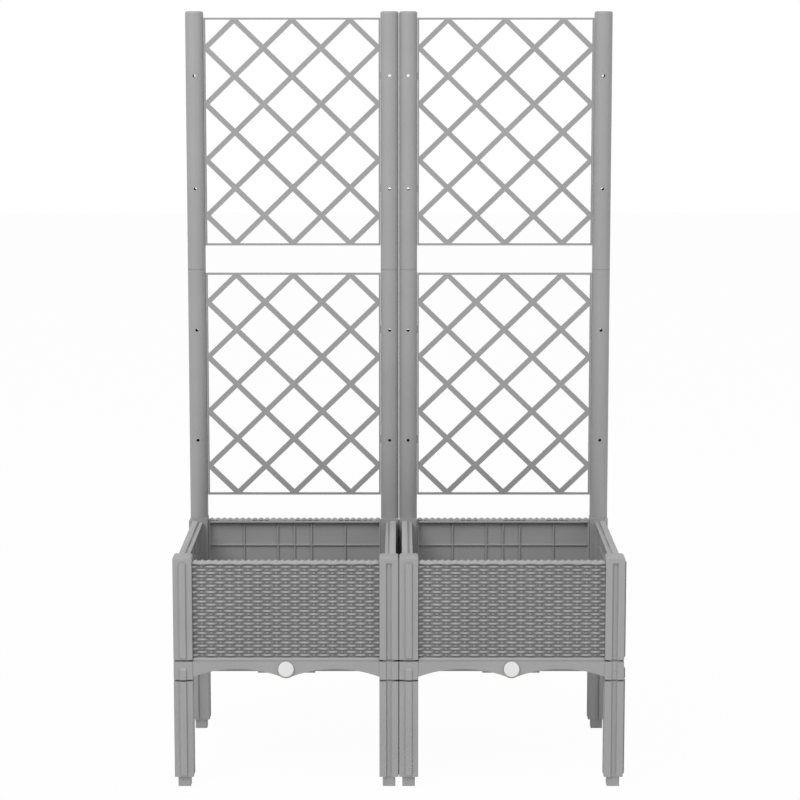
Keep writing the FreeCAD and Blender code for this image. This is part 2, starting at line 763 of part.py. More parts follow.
def tube_cap(label, x, y):
    """Rounded cap with a hollow plug for the tube's upper end."""
    body = new_body(label, x, y, tube_top)
    plug = tube_bore - S["spigot_play"]
    inner = plug - S["spigot_wall"]
    radius, height, rounding = S["tube_radius"], S["dome_height"], S["dome_round"]
    section = new_sketch(body, f"{label}_section", "XZ_Plane")
    roof = height - S["spigot_wall"]
    draw_outline(section, [
        (0.0, height), (0.0, roof), (inner, roof), (inner, -S["dome_plug"]),
        (plug, -S["dome_plug"]), (plug, 0.0), (radius, 0.0),
        (radius, height - rounding, rounding, 1), (radius - rounding, height),
    ])
    revolve(body, section, f"{label}_dome")
    return body


# Lattices

def lattice(label, x, y, z):
    """Lattice: slanting strips in a slender frame, with lugs that lock in the tubes."""
    body = new_body(label, x, y, z)
    tube_side = corner_place - S["tube_radius"] - S["lattice_play"]
    inner_half = tube_side - S["lattice_side"]
    height = S["lattice_height"]
    bar, depth = S["lattice_bar"], S["lattice_depth"]
    pitch_x = 2 * inner_half / S["cells_across"]
    pitch_z = (height - 2 * bar) / S["cells_up"]

    sheet_sketch = new_sketch(body, f"{label}_field_sketch", "XZ_Plane")
    draw_box(sheet_sketch, -inner_half, inner_half, bar, height - bar)
    pad(body, sheet_sketch, depth, f"{label}_field", midplane=True)

    for name, start, columns, rows in (
        ("full", 0.5, S["cells_across"], S["cells_up"]),
        ("edge", 0.0, S["cells_across"] + 1, S["cells_up"] + 1),
    ):
        sketch = new_sketch(body, f"{label}_{name}_sketch", "XZ_Plane")
        diagonal = math.hypot(pitch_x.value, pitch_z.value)
        slant = Size(diagonal, f"sqrt({pitch_x.formula} ^ 2 + {pitch_z.formula} ^ 2)")
        half_x = pitch_x / 2 - S["strip_width"] * slant / pitch_z / 2
        half_z = pitch_z / 2 - S["strip_width"] * slant / pitch_x / 2
        at_x = start * pitch_x - inner_half
        at_z = start * pitch_z + bar
        draw_outline(sketch, [
            (at_x - half_x, at_z), (at_x, at_z - half_z),
            (at_x + half_x, at_z), (at_x, at_z + half_z),
        ])
        opening = pocket(body, sketch, 2 * depth, f"{label}_{name}", midplane=True)
        moves = (("X_Axis", pitch_x, columns), ("Z_Axis", pitch_z, rows))
        field_pattern(body, opening, moves, f"{label}_{name}_field")

    frame = new_sketch(body, f"{label}_frame_sketch", "XZ_Plane")
    draw_box(frame, -tube_side, tube_side, 0.0, height)
    draw_box(frame, -inner_half, inner_half, bar, height - bar)
    pad(body, frame, depth, f"{label}_frame", midplane=True)

    lugs = new_sketch(body, f"{label}_lug_sketch", "XZ_Plane")
    lug_half = S["lug_height"] / 2
    reach = corner_place - S["tube_radius"] + S["lug_reach"]
    for place in tie_places():
        middle = place - S["lattice_start"]
        draw_box(lugs, -reach, -inner_half, middle - lug_half, middle + lug_half)
        draw_box(lugs, inner_half, reach, middle - lug_half, middle + lug_half)
    pad(body, lugs, depth, f"{label}_lugs", midplane=True)
    return body


# Soil grid

def soil_grid(label, x):
    """Slotted grid on hollow feet that keeps the soil above the reservoir."""
    top = S["sleeve_height"] - S["grid_top"]
    body = new_body(label, x, 0.0, sleeve_foot + top)
    wide = corner_place - S["panel_back"] - S["grid_play"]
    narrow = bay_half - S["grid_play"]
    plate = new_sketch(body, f"{label}_plate_sketch")
    draw_outline(plate, [
        (-narrow, -wide), (narrow, -wide), (narrow, -narrow), (wide, -narrow),
        (wide, narrow), (narrow, narrow), (narrow, wide), (-narrow, wide),
        (-narrow, narrow), (-wide, narrow), (-wide, -narrow), (-narrow, -narrow),
    ])
    pad(body, plate, S["grid_wall"], f"{label}_plate", reverse=True)
    feet = new_sketch(body, f"{label}_feet_sketch", level=-S["grid_wall"])
    for across in (-1, 1):
        for along in (-1, 1):
            spot = (across * S["grid_foot_place"], along * S["grid_foot_place"])
            draw_circle(feet, spot[0], spot[1], S["grid_foot"])
            draw_circle(feet, spot[0], spot[1], S["grid_foot"] - S["grid_wall"])
    pad(body, feet, top - basin_floor - S["grid_wall"], f"{label}_feet", reverse=True)
    slot = new_sketch(body, f"{label}_slot_sketch")
    pitch, count = S["grid_slot_pitch"], S["grid_slot_count"]
    start = -(count - 1) * pitch / 2
    half_width, half_length = S["grid_slot_width"] / 2, S["grid_slot_length"] / 2
    draw_box(slot, start - half_width, start + half_width, start - half_length, start + half_length)
    first = pocket(body, slot, S["grid_wall"], f"{label}_slot")
    moves = (("X_Axis", pitch, count), ("Y_Axis", pitch, count))
    field_pattern(body, first, moves, f"{label}_slots")
    return body


# Drain plug

def drain_plug(label, x):
    """Hollow push-in plug with a rounded head; its axis is the sketch's vertical."""
    body = new_body(label, x, -apron_half, sleeve_foot + S["drain_rise"])
    stem = S["drain_radius"] - S["plug_play"]
    back = -S["washer_height"]
    front = back - S["plug_head"]
    end = S["plug_stem"]
    head, rounding = S["plug_radius"], S["plug_round"]
    inner = stem - S["plug_wall"]
    section = new_sketch(body, f"{label}_section")
    draw_outline(section, [
        (0.0, front), (head - rounding, front, rounding, 1), (head, front + rounding),
        (head, back), (stem, back), (stem, end), (inner, end), (inner, front + S["plug_wall"]),
        (0.0, front + S["plug_wall"]),
    ])
    revolve(body, section, f"{label}_turned")
    return body


def plug_washer(label, x):
    """Flat washer between the plug's head and the boss."""
    body = new_body(label, x, -apron_half, sleeve_foot + S["drain_rise"])
    section = new_sketch(body, f"{label}_section")
    inner = S["drain_radius"]
    draw_box(section, inner, S["washer_radius"], -S["washer_height"], 0.0)
    revolve(body, section, f"{label}_turned")
    return body


# Assembly

CORNERS = (
    # name, place along X and Y in half pitches, quarter turns from the front-left one
    ("front_left", -1, -1, 0),
    ("front_right", 1, -1, 1),
    ("rear_right", 1, 1, 2),
    ("rear_left", -1, 1, 3),
)
SIDES = (
    # name, direction from the planter's middle, quarter turns from the front one
    ("front", 0, -1, 0),
    ("right", 1, 0, 1),
    ("rear", 0, 1, 2),
    ("left", -1, 0, 3),
)


def planter(side, middle):
    """Build one planter with its trellis, its middle at the given X."""
    parts = [tray(f"{side}_tray", middle)]
    for corner, across, along, quarter in CORNERS:
        x, y = middle + across * corner_place, along * corner_place
        turn = 90.0 * quarter
        parts.append(corner_column(f"{side}_leg_{corner}", x, y, 0.0, turn))
        foot = tray_top - S["peg_grip"]
        parts.append(corner_column(f"{side}_post_{corner}", x, y, foot, turn))
    for name, across, along, quarter in SIDES:
        x, y = middle + across * corner_place, along * corner_place
        parts.append(panel(f"{side}_panel_{name}", x, y, 90.0 * quarter))
    for end, direction in (("left", -1), ("right", 1)):
        x = middle + direction * corner_place
        parts.append(post_cap(f"{side}_post_cap_{end}", x, -corner_place))
        parts.append(lower_tube(f"{side}_tube_lower_{end}", x, corner_place, -direction))
        parts.append(upper_tube(f"{side}_tube_upper_{end}", x, corner_place, -direction))
        parts.append(tube_cap(f"{side}_tube_cap_{end}", x, corner_place))
    for name, foot in (("lower", tube_foot), ("upper", tube_seat)):
        start = foot + S["lattice_start"]
        parts.append(lattice(f"{side}_lattice_{name}", middle, corner_place, start))
    parts.append(soil_grid(f"{side}_soil_grid", middle))
    parts.append(drain_plug(f"{side}_drain_plug", middle))
    parts.append(plug_washer(f"{side}_drain_washer", middle))
    return parts


def check_document():
    """Stop if any object of the document failed."""
    for item in doc.Objects:
        if "Invalid" in item.State or "Error" in item.State:
            raise RuntimeError(f"{item.Label} failed: {item.State}")


def write_parts(parts):
    """Check every sub-part and write its file."""
    os.makedirs("parts", exist_ok=True)
    for part in parts:
        shape = part.Shape
        if shape.isNull() or not shape.isValid() or len(shape.Solids) != 1:
            raise RuntimeError(f"{part.Label} is not one valid solid")
        print(f"{part.Label}: {len(shape.Faces)} faces, {shape.Volume / 1000:.1f} cm3")
    for part in parts:
        part.Shape.exportStep(f"parts/{part.Label}.step")


all_parts = planter("left", -S["unit_pitch"] / 2) + planter("right", S["unit_pitch"] / 2)
doc.recompute()
check_document()
write_parts(all_parts)
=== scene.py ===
"""Planter with trellis: its finishes, its woven side panels and the studio round it."""
import math

import bmesh
import bpy
from bpy.props import FloatProperty, FloatVectorProperty, IntProperty, PointerProperty
from mathutils import Matrix, Vector


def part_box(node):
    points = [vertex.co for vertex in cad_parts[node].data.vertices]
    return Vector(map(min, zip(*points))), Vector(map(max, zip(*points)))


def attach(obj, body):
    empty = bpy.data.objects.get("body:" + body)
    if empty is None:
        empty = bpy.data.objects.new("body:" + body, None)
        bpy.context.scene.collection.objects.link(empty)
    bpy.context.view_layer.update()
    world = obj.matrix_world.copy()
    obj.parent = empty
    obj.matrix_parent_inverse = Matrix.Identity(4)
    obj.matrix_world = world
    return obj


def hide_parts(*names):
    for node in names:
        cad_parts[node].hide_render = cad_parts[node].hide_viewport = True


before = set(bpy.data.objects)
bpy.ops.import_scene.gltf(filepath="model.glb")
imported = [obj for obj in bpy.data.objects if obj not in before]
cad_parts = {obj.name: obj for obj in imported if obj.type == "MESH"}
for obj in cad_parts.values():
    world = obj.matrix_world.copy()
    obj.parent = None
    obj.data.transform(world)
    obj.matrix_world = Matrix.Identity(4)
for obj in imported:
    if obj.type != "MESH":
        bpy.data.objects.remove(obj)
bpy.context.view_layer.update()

bl_info = {
    "name": "Planter with trellis",
    "version": (1, 0, 0),
    "blender": (4, 5, 0),
    "location": "View3D > Sidebar > Planter",
    "description": "Finishes and woven side panels of a modular planter with trellis",
    "category": "Add Mesh",
}

MM = 0.001
UNITS = ("left", "right")
# name of a side, then its quarter turns from the front one
PANEL_SIDES = (("front", 0), ("right", 1), ("rear", 2), ("left", 3))


# Sizes and colours that a user may change

def length(name, description, default):
    """A length in millimetres, kept in metres."""
    return FloatProperty(name=name, description=description, default=default * MM,
                         min=0.0, unit="LENGTH", precision=5)


def colour(name, description, grey):
    """A colour, given as one grey level or three levels from 0 to 255."""
    levels = grey if isinstance(grey, tuple) else (grey, grey, grey)
    linear = tuple(linear_level(level / 255.0) for level in levels)
    return FloatVectorProperty(name=name, description=description, default=linear + (1.0,),
                               size=4, min=0.0, max=1.0, subtype="COLOR")


def share(name, description, default, high=1.0):
    """A plain share or factor."""
    return FloatProperty(name=name, description=description, default=default,
                         min=0.0, max=high, subtype="FACTOR")


def linear_level(level):
    """The linear value of a screen level from 0 to 1."""
    return level / 12.92 if level <= 0.04045 else ((level + 0.055) / 1.055) ** 2.4


class PlasticSizes(bpy.types.PropertyGroup):
    """Colours and grain of the moulded plastics."""

    column_colour: colour("Columns", "Grey of the columns, trays and caps", (166, 166, 166))
    tube_colour: colour("Tubes", "Grey of the trellis tubes", (165, 165, 165))
    lattice_colour: colour("Lattices", "Grey of the lattices", (163, 163, 163))
    woven_colour: colour("Woven panels", "Grey of the woven panels", (173, 173, 173))
    grid_colour: colour("Soil grids", "Dark grey of the soil grids", (74, 74, 76))
    plug_colour: colour("Drain plugs", "White of the drain plugs", (236, 236, 234))
    washer_colour: colour("Washers", "Black of the rubber washers", (38, 38, 38))
    grain_size: length("Grain size", "Spacing of the eroded mould grain", 0.9)
    grain_depth: length("Grain depth", "Depth of the eroded mould grain", 0.02)
    # painted highlight: a paler band along the edges stands in for their highlight
    edge_width: length("Edge width", "Width of the paler band on edges", 0.7)
    edge_highlight_share: share("Edge paleness", "How much paler the rubbed edges are", 0.10)
    cloud_share: share("Clouding", "How much the plastic's grey drifts", 0.045)
    # painted shade: how dark the weave's valleys are painted, by their depth
    valley_shade_share: share("Valley shade", "How much grime lies in the weave's valleys", 0.47)
    dust_share: share("Dust", "How much dust lies on level faces", 0.10)


class PanelSizes(bpy.types.PropertyGroup):
    """Sizes of a side panel's wall, ribs and rim."""

    height: length("Height", "Height of a panel to the middle of its beads", 180.5)
    play: length("Play", "Room between a panel and its columns", 0.4)
    wall: length("Wall", "Thickness of the wall and of the end flanges", 2.6)
    wall_front: length("Wall place", "Wall's face in front of the columns' middle line", 6.6)
    back: length("Lip place", "Inner lip's back behind the columns' middle line", 7.4)
    tongue_height: length("Tongue height", "Height of the tongues in the columns' slots", 178.0)
    tongue_reach: length("Tongue reach", "How far a tongue reaches into its slot", 3.2)
    tongue_width: length("Tongue width", "Thickness of a tongue", 8.2)
    rim_front: length("Rim face", "Rim's face in front of the columns' middle line", 10.4)
    rim_height: length("Rim height", "Height of the rim", 5.7)
    lip_drop: length("Lip drop", "Inner lip's top under the rim's top", 2.5)
    groove_front: length("Groove place", "Groove's front edge before the middle line", 1.0)
    groove_width: length("Groove width", "Width of the rim's groove", 3.0)
    groove_depth: length("Groove depth", "Depth of the rim's groove", 4.0)
    web_width: length("Rib width", "Thickness of the ribs behind the wall", 2.2)
    web_depth: length("Rib depth", "Depth of the ribs behind the wall", 3.6)
    web_pitch: length("Rib spacing", "Unit of the spacing of the upright ribs", 32.3)
    girt_drop: length("Level rib", "Level rib's lower edge under the rim's top", 52.0)
    edge_round: length("Edge round", "Rounding of the panel's edges", 0.45)


class WeaveSizes(bpy.types.PropertyGroup):
    """Sizes of the woven face of a panel."""

    rows: IntProperty(name="Rows", description="Rows of strands", default=29, min=3)
    repeats: IntProperty(name="Repeats", description="Repeats across a panel", default=10, min=2)
    first_row: length("First row", "Lowest strand's middle over the panel's foot", 10.1)
    row_pitch: length("Row pitch", "Distance from row to row", 5.72)
    long_float: length("Long floats", "Length of the floats in even rows", 22.6)
    short_float: length("Short floats", "Length of the floats in odd rows", 21.0)
    float_height: length("Float height", "Height of a float at its middle", 4.9)
    float_rise: length("Float rise", "Rise of a float over the rim's face", 0.9)
    border_rise: length("Border rise", "Rise of the borders over the rim's face", 1.5)
    stake_width: length("Stake width", "Width of the upright stakes", 6.4)
    stake_drop: length("Stake drop", "Stake's crest behind the rim's face", 1.0)
    ground_depth: length("Ground depth", "Panel's wall behind the rim's face", 3.8)
    bead_pitch: length("Bead pitch", "Distance from bead to bead on the rim", 11.8)
    bead_rise: length("Bead rise", "Height of the beads over their valleys", 2.6)
    lobe_middle: length("Lobe middle", "Top border's lower edge under the beads' middle", 5.5)
    lobe_swing: length("Lobe swing", "How far the top border's lobes hang lower", 0.8)
    foot_top: length("Foot border", "Top of the border along the panel's foot", 5.9)


class StudioSizes(bpy.types.PropertyGroup):
    """Camera, lamps and floor."""

    distance: FloatProperty(name="Camera distance", description="Camera in front of the planter",
                            default=4.3718, unit="LENGTH")
    height: FloatProperty(name="Camera height", description="Camera over the floor",
                          default=1.3273, unit="LENGTH")
    offset: FloatProperty(name="Camera offset", description="Camera right of the planter's middle",
                          default=0.0021, unit="LENGTH")
    tilt: FloatProperty(name="Camera tilt", description="How far the camera looks down",
                        default=math.radians(7.434), subtype="ANGLE")
    lens: FloatProperty(name="Focal length", description="Focal length on a 36 mm film",
                        default=108.68, min=1.0)
    shift: FloatProperty(name="Camera shift", description="Vertical shift of the camera's film",
                         default=-0.06)
    floor_colour: colour("Floor", "Pale floor under the planter", 246)
    sky_strength: share("Sky", "Strength of the even light from all sides", 0.47, 5.0)
    key_power: FloatProperty(name="Key lamp", description="Power of the large lamp",
                             default=80.0, min=0.0)
    fill_power: FloatProperty(name="Fill lamp", description="Power of the lamp on the right",
                              default=16.0, min=0.0)
    top_power: FloatProperty(name="Top lamp", description="Power of the lamp overhead",
                             default=30.0, min=0.0)


# Node helpers

def new_material(name):
    """An empty node material with a Principled shader; returns the material and shader."""
    material = bpy.data.materials.new(name)
    material.use_nodes = True
    tree = material.node_tree
    tree.nodes.clear()
    output = tree.nodes.new("ShaderNodeOutputMaterial")
    shader = tree.nodes.new("ShaderNodeBsdfPrincipled")
    output.location = (900, 0)
    shader.location = (600, 0)
    tree.links.new(shader.outputs["BSDF"], output.inputs["Surface"])
    return material, shader


def new_group(name, inputs, outputs):
    """An empty node group with its sockets; returns the group, its input and its output."""
    group = bpy.data.node_groups.new(name, "ShaderNodeTree")
    for label, kind, default in inputs:
        socket = group.interface.new_socket(label, in_out="INPUT", socket_type=kind)
        if default is not None:
            socket.default_value = default
    for label, kind in outputs:
        group.interface.new_socket(label, in_out="OUTPUT", socket_type=kind)
    entry = group.nodes.new("NodeGroupInput")
    result = group.nodes.new("NodeGroupOutput")
    entry.location = (-900, 0)
    result.location = (700, 0)
    return group, entry, result


def add_node(tree, kind, spot, **settings):
    """Add a node at a spot of the tree; settings are its own properties."""
    node = tree.nodes.new(kind)
    node.location = spot
    for name, value in settings.items():
        setattr(node, name, value)
    return node


def add_math(tree, operation, spot, first, second=None, clamp=False):
    """A math node fed by sockets or numbers; returns its output."""
    node = add_node(tree, "ShaderNodeMath", spot, operation=operation, use_clamp=clamp)
    for socket, value in zip(node.inputs, (first, second)):
        if value is None:
            continue
        if isinstance(value, bpy.types.NodeSocket):
            tree.links.new(value, socket)
        else:
            socket.default_value = value
    return node.outputs[0]


def place_group(tree, group, spot, **values):
    """Place a group in a material and give it its own values."""
    node = add_node(tree, "ShaderNodeGroup", spot, node_tree=group)
    for name, value in values.items():
        socket = node.inputs[name.replace("_", " ").capitalize()]
        if isinstance(value, bpy.types.NodeSocket):
            tree.links.new(value, socket)
        else:
            socket.default_value = value
    return node


# Effects that several finishes share

def make_clouding():
    """Slow drift of a plastic's grey: flow clouds and fine pigment specks."""
    group, entry, result = new_group(
        "clouding",
        [("Colour", "NodeSocketColor", (0.4, 0.4, 0.4, 1.0)),
         ("Amount", "NodeSocketFloat", 0.05), ("Scale", "NodeSocketFloat", 9.0)],
        [("Colour", "NodeSocketColor"), ("Value", "NodeSocketFloat")])
    links = group.links.new
    place = add_node(group, "ShaderNodeTexCoord", (-900, -300))
    clouds = add_node(group, "ShaderNodeTexNoise", (-650, 100))
    clouds.inputs["Detail"].default_value = 3.0
    links(place.outputs["Object"], clouds.inputs["Vector"])
    links(entry.outputs["Scale"], clouds.inputs["Scale"])
    specks = add_node(group, "ShaderNodeTexNoise", (-650, -200))
    specks.inputs["Scale"].default_value = 900.0
    specks.inputs["Detail"].default_value = 1.0
    links(place.outputs["Object"], specks.inputs["Vector"])
    mixed = add_math(group, "MULTIPLY_ADD", (-400, 0), specks.outputs["Fac"], 0.35)
    group.nodes[-1].inputs[2].default_value = 0.0
    links(clouds.outputs["Fac"], group.nodes[-1].inputs[2])
    centred = add_math(group, "SUBTRACT", (-200, 0), mixed, 0.675)
    swing = add_math(group, "MULTIPLY", (0, 0), centred, entry.outputs["Amount"])
    swing = add_math(group, "MULTIPLY", (100, 100), swing, 4.0)
    level = add_math(group, "ADD", (200, 0), swing, 1.0)
    tint = add_node(group, "ShaderNodeMix", (450, 0), data_type="RGBA", blend_type="MULTIPLY")
    tint.inputs["Factor"].default_value = 1.0
    links(entry.outputs["Colour"], tint.inputs["A"])
    links(level, tint.inputs["B"])
    links(tint.outputs["Result"], result.inputs["Colour"])
    links(level, result.inputs["Value"])
    return group


def make_mould_grain():
    """Eroded grain of a steel mould: its height, and a mask for the roughness."""
    group, entry, result = new_group(
        "mould_grain", [("Size", "NodeSocketFloat", 0.001)],
        [("Height", "NodeSocketFloat"), ("Roughness", "NodeSocketFloat")])
    links = group.links.new
    place = add_node(group, "ShaderNodeTexCoord", (-900, -300))
    scale = add_math(group, "DIVIDE", (-700, 200), 1.0, entry.outputs["Size"])
    coarse = add_node(group, "ShaderNodeTexNoise", (-450, 150))
    coarse.inputs["Detail"].default_value = 2.0
    coarse.inputs["Roughness"].default_value = 0.6
    pits = add_node(group, "ShaderNodeTexVoronoi", (-450, -200), feature="SMOOTH_F1")
    for texture in (coarse, pits):
        links(place.outputs["Object"], texture.inputs["Vector"])
        links(scale, texture.inputs["Scale"])
    height = add_math(group, "MULTIPLY_ADD", (-150, 0), pits.outputs["Distance"], -0.6)
    links(coarse.outputs["Fac"], group.nodes[-1].inputs[2])
    links(height, result.inputs["Height"])
    dull = add_math(group, "SUBTRACT", (100, -200), coarse.outputs["Fac"], 0.5)
    links(dull, result.inputs["Roughness"])
    return group


def make_edge_highlight():
    """Mask of the outer edges, where a paler band is painted as a highlight."""
    group, entry, result = new_group(
        "edge_wear", [("Width", "NodeSocketFloat", 0.001)], [("Mask", "NodeSocketFloat")])
    links = group.links.new
    bend = add_node(group, "ShaderNodeBevel", (-500, 100), samples=4)
    links(entry.outputs["Width"], bend.inputs["Radius"])
    shape = add_node(group, "ShaderNodeNewGeometry", (-500, -150))
    turn = add_node(group, "ShaderNodeVectorMath", (-250, 0), operation="DOT_PRODUCT")
    links(bend.outputs["Normal"], turn.inputs[0])
    links(shape.outputs["True Normal"], turn.inputs[1])
    off = add_math(group, "SUBTRACT", (0, 0), 1.0, turn.outputs["Value"])
    mask = add_math(group, "MULTIPLY", (200, 0), off, 4.0, clamp=True)
    links(mask, result.inputs["Mask"])
    return group


def make_settled_dust():
    """Mask of the dust that settles on level faces."""
    group, entry, result = new_group(
        "settled_dust", [("Amount", "NodeSocketFloat", 0.1)], [("Mask", "NodeSocketFloat")])
    links = group.links.new
    shape = add_node(group, "ShaderNodeNewGeometry", (-700, 0))
    split = add_node(group, "ShaderNodeSeparateXYZ", (-500, 0))
    links(shape.outputs["Normal"], split.inputs["Vector"])
    level = add_math(group, "POWER", (-300, 0), split.outputs["Z"], 3.0, clamp=True)
    place = add_node(group, "ShaderNodeTexCoord", (-700, -300))
    drift = add_node(group, "ShaderNodeTexNoise", (-500, -300))
    drift.inputs["Scale"].default_value = 26.0
    drift.inputs["Detail"].default_value = 5.0
    links(place.outputs["Object"], drift.inputs["Vector"])
    patchy = add_math(group, "MULTIPLY", (-100, 0), level, drift.outputs["Fac"])
    mask = add_math(group, "MULTIPLY", (200, 0), patchy, entry.outputs["Amount"], clamp=True)
    links(mask, result.inputs["Mask"])
    return group


def make_valley_shade():
    """Mask of the shade painted into the weave's valleys, by depth behind the floats."""
    group, entry, result = new_group(
        "valley_grime",
        [("Level", "NodeSocketFloat", 0.0), ("Depth", "NodeSocketFloat", 0.004)],
        [("Mask", "NodeSocketFloat")])
    place = add_node(group, "ShaderNodeTexCoord", (-700, 0))
    split = add_node(group, "ShaderNodeSeparateXYZ", (-500, 0))
    group.links.new(place.outputs["Object"], split.inputs["Vector"])
    sunk = add_math(group, "SUBTRACT", (-300, 0), split.outputs["Y"], entry.outputs["Level"])
    mask = add_math(group, "DIVIDE", (-100, 0), sunk, entry.outputs["Depth"], clamp=True)
    group.links.new(mask, result.inputs["Mask"])
    return group


def make_draw_lines():
    """Fine upright lines that an extruding die leaves along a tube."""
    group, entry, result = new_group(
        "draw_lines", [("Spacing", "NodeSocketFloat", 0.001)], [("Height", "NodeSocketFloat")])
    links = group.links.new
    place = add_node(group, "ShaderNodeTexCoord", (-900, 0))
    stretch = add_node(group, "ShaderNodeMapping", (-650, 0))
    stretch.inputs["Scale"].default_value = (1.0, 1.0, 0.012)
    links(place.outputs["Object"], stretch.inputs["Vector"])
    lines = add_node(group, "ShaderNodeTexNoise", (-350, 0))
    lines.inputs["Detail"].default_value = 2.0
    scale = add_math(group, "DIVIDE", (-600, 250), 1.0, entry.outputs["Spacing"])
    links(stretch.outputs["Vector"], lines.inputs["Vector"])
    links(scale, lines.inputs["Scale"])
    links(lines.outputs["Fac"], result.inputs["Height"])
    return group


EFFECTS = {
    "clouding": make_clouding,
    "mould_grain": make_mould_grain,
    "edge_wear": make_edge_highlight,
    "settled_dust": make_settled_dust,
    "draw_lines": make_draw_lines,
    "valley_grime": make_valley_shade,
}


def effect(name):
    """The shared effect of that name, built when it is first asked for."""
    return bpy.data.node_groups.get(name) or EFFECTS[name]()


# Finishes

# paler grey painted on edges as a highlight
EDGE_HIGHLIGHT_GREY = (0.62, 0.62, 0.62, 1.0)
DUST_PALE = (0.66, 0.65, 0.63, 1.0)
# dark grey painted into the weave's valleys as shade
PAINTED_SHADE_GREY = (0.05, 0.05, 0.05, 1.0)


def plastic_colour(tree, base, plastic, edges=True):
    """Clouded colour with a painted highlight on the edges and a little dust; returns its socket.
    """
    clouded = place_group(tree, effect("clouding"), (-900, 200), colour=base,
                          amount=plastic.cloud_share, scale=9.0)
    last = clouded.outputs["Colour"]
    layers = [(place_group(tree, effect("settled_dust"), (-900, -350),
                           amount=plastic.dust_share), DUST_PALE, 1.0)]
    # painted highlight: a paler band along the edges
    if edges:
        layers.append((place_group(tree, effect("edge_wear"), (-900, -50),
                                   width=plastic.edge_width), EDGE_HIGHLIGHT_GREY, plastic.edge_highlight_share))
    for number, (mask, pale, strength) in enumerate(layers):
        amount = add_math(tree, "MULTIPLY", (-600 + 300 * number, -150),
                          mask.outputs["Mask"], strength)
        mix = add_node(tree, "ShaderNodeMix", (-400 + 300 * number, 150), data_type="RGBA")
        tree.links.new(amount, mix.inputs["Factor"])
        tree.links.new(last, mix.inputs["A"])
        mix.inputs["B"].default_value = pale
        last = mix.outputs["Result"]
    return last


def grained(name, base, plastic, roughness, edges=True, relief=1.0):
    """A moulded plastic with eroded grain; returns the material and its shader."""
    material, shader = new_material(name)
    tree = material.node_tree
    tree.links.new(plastic_colour(tree, base, plastic, edges), shader.inputs["Base Color"])
    grain = place_group(tree, effect("mould_grain"), (-300, -400), size=plastic.grain_size)
    bump = add_node(tree, "ShaderNodeBump", (300, -350))
    bump.inputs["Strength"].default_value = 1.0
    bump.inputs["Distance"].default_value = plastic.grain_depth * relief
    tree.links.new(grain.outputs["Height"], bump.inputs["Height"])
    tree.links.new(bump.outputs["Normal"], shader.inputs["Normal"])
    spread = add_math(tree, "MULTIPLY", (0, -150), grain.outputs["Roughness"], 0.25)
    level = add_math(tree, "ADD", (200, -150), spread, roughness)
    tree.links.new(level, shader.inputs["Roughness"])
    shader.inputs["Specular IOR Level"].default_value = 0.4
    return material, shader


def drawn(name, base, plastic):
    """The tubes' extruded plastic: smoother, with fine upright lines."""
    material, shader = new_material(name)
    tree = material.node_tree
    tree.links.new(plastic_colour(tree, base, plastic), shader.inputs["Base Color"])
    lines = place_group(tree, effect("draw_lines"), (-300, -400), spacing=1.2 * MM)
    grain = place_group(tree, effect("mould_grain"), (-300, -650), size=plastic.grain_size / 2)
    height = add_math(tree, "MULTIPLY_ADD", (0, -450), grain.outputs["Height"], 0.35)
    tree.links.new(lines.outputs["Height"], tree.nodes[-1].inputs[2])
    bump = add_node(tree, "ShaderNodeBump", (300, -350))
    bump.inputs["Strength"].default_value = 0.8
    bump.inputs["Distance"].default_value = plastic.grain_depth
    tree.links.new(height, bump.inputs["Height"])
    tree.links.new(bump.outputs["Normal"], shader.inputs["Normal"])
    spread = add_math(tree, "MULTIPLY", (0, -150), grain.outputs["Roughness"], 0.2)
    level = add_math(tree, "ADD", (200, -150), spread, 0.47)
    tree.links.new(level, shader.inputs["Roughness"])
    shader.inputs["Specular IOR Level"].default_value = 0.42
    return material


def woven_finish(base, plastic, weave, face):
    """The woven face's plastic: grained, with painted shade darkening the valleys between the
    floats.
    """
    material, shader = grained("woven_grey_plastic", base, plastic, 0.5, edges=False)
    tree = material.node_tree
    unshaded = shader.inputs["Base Color"].links[0].from_socket
    # painted shade: the deeper the surface lies behind the floats, the darker it is painted
    shade = place_group(tree, effect("valley_grime"), (-300, 500),
                        level=-face - weave.float_rise / 2, depth=weave.ground_depth * 0.8)
    amount = add_math(tree, "MULTIPLY", (0, 500), shade.outputs["Mask"], plastic.valley_shade_share)
    mix = add_node(tree, "ShaderNodeMix", (300, 400), data_type="RGBA")
    tree.links.new(amount, mix.inputs["Factor"])
    tree.links.new(unshaded, mix.inputs["A"])
    mix.inputs["B"].default_value = PAINTED_SHADE_GREY
    tree.links.new(mix.outputs["Result"], shader.inputs["Base Color"])
    return material


def give_finish(nodes, material):
    """Put one finish on CAD nodes."""
    for name in nodes:
        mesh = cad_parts[name].data
        mesh.materials.clear()
        mesh.materials.append(material)


def nodes_named(*parts):
    """The CAD nodes whose name holds one of the parts."""
    return sorted(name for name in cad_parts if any(part in name for part in parts))


# Woven panels

# How deep floats and stakes dive and root, as shares of the ground's depth
FLOAT_DIVE, STAKE_DIVE, ROOT = 0.75, 0.7, 1.05
# Height of a float's ends as a share of its middle's
FLOAT_END = 0.46
# A stake's visible stretch as a share of the row pitch
STAKE_STRETCH = 0.95


class Bay:
    """Where the panels of one planter stand."""

    def __init__(self, unit, panel):
        post_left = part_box(f"{unit}_post_front_left")
        post_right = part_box(f"{unit}_post_front_right")
        panel_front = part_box(f"{unit}_panel_front")
        panel_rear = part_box(f"{unit}_panel_rear")
        self.half = (post_right[0].x - post_left[1].x) / 2
        self.middle = Vector(((post_left[1].x + post_right[0].x) / 2,
                              (panel_front[0].y + panel_rear[1].y) / 2, panel_front[0].z))
        self.line = self.half + (post_left[1].x - post_left[0].x) / 2
        self.face = self.line + panel.rim_front

    def place(self, quarter):
        """The matrix that carries a front piece to a side of this planter."""
        return Matrix.Translation(self.middle) @ Matrix.Rotation(quarter * math.pi / 2, 4, "Z")


